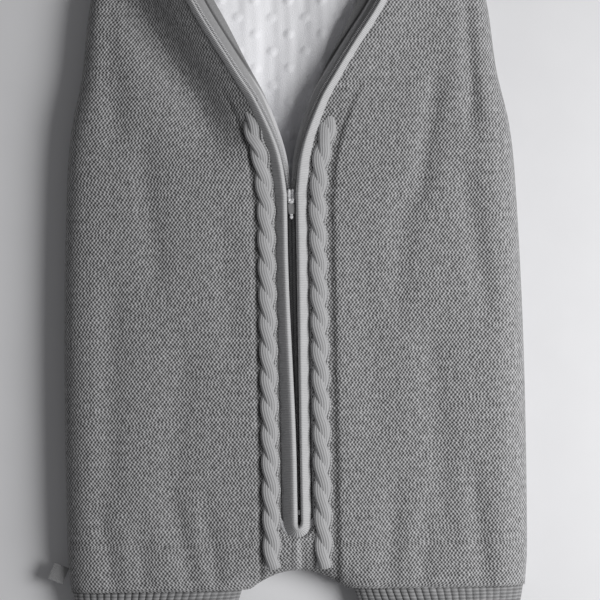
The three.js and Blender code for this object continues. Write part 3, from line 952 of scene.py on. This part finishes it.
def facing_strip(name, side, rows):
    """The soft strip behind each open edge, sewn along its outer side."""
    seam_x, seam_y = edge_line(rows, -FACING_SEAM)
    next_x, next_y = edge_line(rows, -FACING_SEAM - 1)
    past_start = (-COIL_OUT[side](rows) + 1.6 - FACING_SEAM)[:, None]
    reach = past_start + FACING_SHOWN[side](rows)[:, None]
    steps = np.linspace(0, 1, 26)[None, :]
    inward = reach * steps
    x = seam_x[:, None] + inward * (next_x - seam_x)[:, None]
    y = seam_y[:, None] + inward * (next_y - seam_y)[:, None]
    sag = 1.1 * np.sin(rows * 0.11 + side)[:, None] * steps ** 2
    past_coil = inward - past_start
    band = smooth((past_coil + 2) / 2) * smooth((FACING_BAND - past_coil) / 1.2)
    # The fold's mask dips the strip here, and in the material it paints shade into the fold.
    shaded_fold = np.exp(-((past_coil - FACING_BAND - 0.8) / 0.9) ** 2)
    shaded_fold = shaded_fold * smooth((y - 478) / 30)
    z = (edge_heights[side](rows)[:, None] - 8.6 - 0.10 * np.maximum(past_coil, 0) ** 1.5
         + sag + 1.4 * band - 1.3 * shaded_fold)
    top = place(side * x, y, z)
    under = place(side * x, y, z - 1.5)
    uv = np.stack([inward, y], axis=-1)
    strip = shell(name, top, under, uv, {"band": band, "shaded_fold": shaded_fold}, mirrored=side > 0)
    seam = side_path(side, rows, -FACING_SEAM, 0)
    return strip


for side in (-1, 1):
    node = f"facing_{WORDS[side]}_edge"
    middle = int(np.argmin(np.abs(zip_rows - FOLD_WIDEST)))
    for zone, a, b in (("mid", 0, middle), ("high", middle, len(zip_rows) - 1)):
        facing = facing_strip(f"facing_{WORDS[side]}_{zone}", side, zip_rows[a:b + 1])
        dress(facing, FACING, "facing", node)
        ride_edge(facing, zone)

for side in (-1, 1):
    stop_rows = np.linspace(689, 693, 6)
    stop = sweep(f"stop_top_{WORDS[side]}", side_path(side, stop_rows, -13.6, -4.8),
                 oval(1.7, 1.5, 10))
    dress(stop, METAL, "zip_metal", f"top_stop_{WORDS[side]}")
    ride_edge(stop, "high")

under_zip = np.stack([np.zeros(80), np.linspace(99, FOLD_CLEAR, 80),
                      np.full(80, CHAIN_UP - 2.25)], axis=-1)
facing = sweep("facing_lower", under_zip, slab_section(-25, 25, -0.75, 0.75, 8))
dress(facing, FACING, "facing", "facing_lower")
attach(facing, "bag")


# ------------------------------------------------------------------ cuffs

RIBS = 50                      # ribs round a cuff
RIB_DEPTH = 1.5


def cuff(side):
    rows = 26
    per_rib = 10
    count = RIBS * per_rib
    turn = np.linspace(0, 2 * math.pi, 2000)
    length = np.concatenate([[0], np.cumsum(np.hypot(
        np.diff(70 * np.cos(turn)), np.diff(14 * np.sin(turn))))])
    even = np.interp(np.linspace(0, length[-1], count + 1)[:-1], length, turn)
    t = np.linspace(0, 1, rows)[:, None]
    middle = 125.5 - 4.0 * t
    across = 63 + 11 * t
    up = 12.5 + 3.0 * t
    wave = np.abs(np.sin(np.arange(count) / per_rib * math.pi)) ** 0.55
    wobble = 0.35 * np.sin(np.arange(count) * 0.037 + 5 * t)
    deep = (1 - wave[None, :]) * RIB_DEPTH * (0.75 + 0.25 * smooth(t * 6)) + wobble
    lean = 0.02 * np.sin(t * 5 + np.arange(count)[None, :] * 0.011)
    angle = even[None, :] + lean
    x = side * (middle + np.cos(angle) * (across - deep))
    z = 17 + np.sin(angle) * (up - deep)
    sag = 1.2 * (1 - t) * np.sin(angle * 3 + side)
    y = t * 45.6 + sag * 0.5
    outer = place(x, y, z)
    inner_x = side * (middle + np.cos(angle) * (across - 3.6))
    inner = place(inner_x, y, 17 + np.sin(angle) * (up - 3.6))
    rings = np.concatenate([outer[::-1], inner], axis=0)
    faces = []
    for r in range(len(rings) - 1):
        for c in range(count):
            n = (c + 1) % count
            a, b = r * count + c, r * count + n
            faces.append((a, b, b + count, a + count))
    for c in range(count):
        n = (c + 1) % count
        last = (len(rings) - 1) * count
        faces.append((last + c, last + n, n, c))
    around = np.linspace(0, length[-1], count + 1)[:-1]
    uv_y = np.concatenate([y[::-1], y], axis=0)
    uv = np.stack([np.broadcast_to(around, uv_y.shape), uv_y], axis=-1)
    obj = mesh_object(f"cuff_{WORDS[side]}", rings.reshape(-1, 3), faces, uv.reshape(-1, 2))
    dress(obj, RIB, "rib", f"cuff_{WORDS[side]}")
    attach(obj, "bag")


for side in (-1, 1):
    cuff(side)


# ------------------------------------------------------------------ small pieces

def refined(node, name, finish, slot_name, body="bag", levels=2, soften=True):
    """A smoother, finer copy of a small CAD solid, with a cloth map in mm."""
    source = frame["nodes"][node]
    made = bpy.data.objects.new(name, source.data.copy())
    made.data.materials.clear()
    bpy.context.scene.collection.objects.link(made)
    for o in bpy.context.view_layer.objects:
        o.select_set(False)
    made.select_set(True)
    bpy.context.view_layer.objects.active = made
    weld = made.modifiers.new("weld", "WELD")
    weld.merge_threshold = 0.00002
    if soften:
        finer = made.modifiers.new("finer", "SUBSURF")
        finer.levels = levels
        finer.render_levels = levels
    else:
        edge = made.modifiers.new("edge", "BEVEL")
        edge.width = 0.00025
        edge.segments = 2
        edge.limit_method = "ANGLE"
    for modifier in list(made.modifiers):
        bpy.ops.object.modifier_apply(modifier=modifier.name)
    count = len(made.data.vertices)
    co = np.zeros(count * 3)
    made.data.vertices.foreach_get("co", co)
    co = co.reshape(-1, 3) * 1000
    corner = np.zeros(len(made.data.loops), np.int64)
    made.data.loops.foreach_get("vertex_index", corner)
    while made.data.uv_layers:
        made.data.uv_layers.remove(made.data.uv_layers[0])
    layer = made.data.uv_layers.new(name="cloth")
    uv = np.stack([co[:, 0] + co[:, 2], co[:, 1] + 0.5 * co[:, 2]], axis=-1)
    layer.data.foreach_set("uv", uv[corner].astype(np.float32).ravel())
    made.data.polygons.foreach_set("use_smooth", [True] * len(made.data.polygons))
    made.data.update()
    dress(made, finish, slot_name, node)
    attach(made, body)
    return made


refined("armhole_binding_left", "binding_armhole_left", RIB, "rib")
refined("armhole_binding_right", "binding_armhole_right", RIB, "rib")
refined("neck_binding", "binding_neck", RIB, "rib")
label = refined("side_label", "label_side", LABEL, "label", soften=False)
refined("bottom_stop", "stop_bottom", METAL, "zip_metal", soften=False)


def tapered_bar(name, middle_x, from_y, to_y, sizes, level, bottom):
    """A rounded bar along the zip; sizes are (place 0..1, half width, height)."""
    rows = np.linspace(0, 1, 22)
    half = profile([(t, h) for t, h, _ in sizes])(rows)
    high = profile([(t, z) for t, _, z in sizes])(rows)
    turn = np.linspace(0, math.pi, 13)
    bulge = np.sin(turn) ** 0.55
    side_shape = -np.cos(turn)
    x = middle_x + half[:, None] * side_shape[None, :]
    y = (from_y + (to_y - from_y) * rows)[:, None] + 0 * x
    top = place(x, y, level + high[:, None] * bulge[None, :])
    under = place(x, y, np.full_like(x, bottom))
    uv = np.stack([x, y], axis=-1)
    return shell(name, top, under, uv)


SLIDER_LOW = 31.6
cheeks = [tapered_bar(f"slider_cheek_{i}", x, 378.8, 390.6,
                      [(0, 1.5, 5.4), (0.27, 1.6, 5.8), (0.43, 1.6, 3.2), (0.7, 1.6, 4.1),
                       (0.9, 1.5, 4.9), (1, 1.0, 4.0)],
                      SLIDER_LOW + 0.4, SLIDER_LOW)
          for i, x in enumerate((-1.7, 1.6))]
bridge = tapered_bar("slider_bridge", 0, 378.3, 380.7,
                     [(0, 3.0, 5.6), (0.5, 3.1, 6.8), (1, 3.0, 5.6)],
                     SLIDER_LOW + 0.4, SLIDER_LOW)
slider = joined("zip_slider", [*cheeks, bridge])
dress(slider, METAL, "zip_metal", "slider")
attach(slider, "slider")

PULL_LEVEL = 37.0
grip = tapered_bar("zip_pull_grip", 0, 369.0, 377.9,
                   [(0, 2.2, 0.6), (0.12, 2.6, 0.9), (0.85, 3.05, 0.9), (1, 2.9, 0.7)],
                   PULL_LEVEL, PULL_LEVEL - 0.7)
dress(grip, GRIP, "pull_grip", "pull_grip")
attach(grip, "pull")
tongue = tapered_bar("pull_tongue", 0, 366.2, 381.6,
                     [(0, 1.1, 0.5), (0.5, 1.3, 0.6), (1, 1.3, 0.6)],
                     PULL_LEVEL - 0.6, PULL_LEVEL - 1.2)
bead = tapered_bar("pull_bead", 0, 364.6, 368.4,
                   [(0, 0.5, 0.3), (0.25, 1.25, 1.3), (0.5, 1.6, 1.7), (0.75, 1.25, 1.3),
                    (1, 0.5, 0.3)], PULL_LEVEL - 0.8, PULL_LEVEL - 2.0)
pull = joined("zip_pull", [tongue, bead])
dress(pull, METAL, "zip_metal", "pull")
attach(pull, "pull")


# ------------------------------------------------------------------ floor, light, camera

FLOOR_SIZE = 6.0


def floor():
    half = FLOOR_SIZE / 2
    points = np.array([(-half, -half, 0), (half, -half, 0), (half, half, 0), (-half, half, 0)])
    obj = mesh_object("floor", points, [(0, 1, 2, 3)], points[:, :2] * 1000)
    made, shader = material("floor paper")
    w = Wires(made)
    grain = w.noise(w.uv(), 0.02, 2.0)
    w.link(w.mix(grain, (0.80, 0.80, 0.815), (0.84, 0.84, 0.855)), shader.inputs["Base Color"])
    shader.inputs["Roughness"].default_value = 0.95
    shader.inputs["Specular IOR Level"].default_value = 0.1
    obj.data.materials.append(made)
    obj.location.z = -0.0004


floor()


def area_light(name, location, aim, size, power, tint=(1, 1, 1)):
    data = bpy.data.lights.new(name, "AREA")
    data.shape = "DISK"
    data.size = size
    data.energy = power
    data.color = tint
    obj = bpy.data.objects.new(name, data)
    bpy.context.scene.collection.objects.link(obj)
    obj.location = location
    direction = Vector(aim) - Vector(location)
    obj.rotation_euler = direction.to_track_quat("-Z", "Y").to_euler()


area_light("window light", (1.10, -0.22, 0.95), (0.0, -0.08, 0.0), 0.9, 20.6)

world = bpy.data.worlds.new("room")
world.use_nodes = True
world.node_tree.nodes["Background"].inputs[0].default_value = (1.0, 1.0, 1.02, 1)
world.node_tree.nodes["Background"].inputs[1].default_value = 0.14
bpy.context.scene.world = world
bpy.context.scene.view_settings.view_transform = "Standard"

CAMERA_UP = 1.9
SEEN_WIDTH = 0.516             # metres across the picture at the bag's front
FRONT_LEVEL = 0.036

camera_data = bpy.data.cameras.new("camera")
camera = bpy.data.objects.new("camera", camera_data)
bpy.context.scene.collection.objects.link(camera)
camera.location = (0.006, -0.080, CAMERA_UP)
camera.rotation_euler = (0, 0, math.radians(-1.0))
camera_data.sensor_width = 36
camera_data.lens = 36 * (CAMERA_UP - FRONT_LEVEL) / SEEN_WIDTH
bpy.context.scene.camera = camera
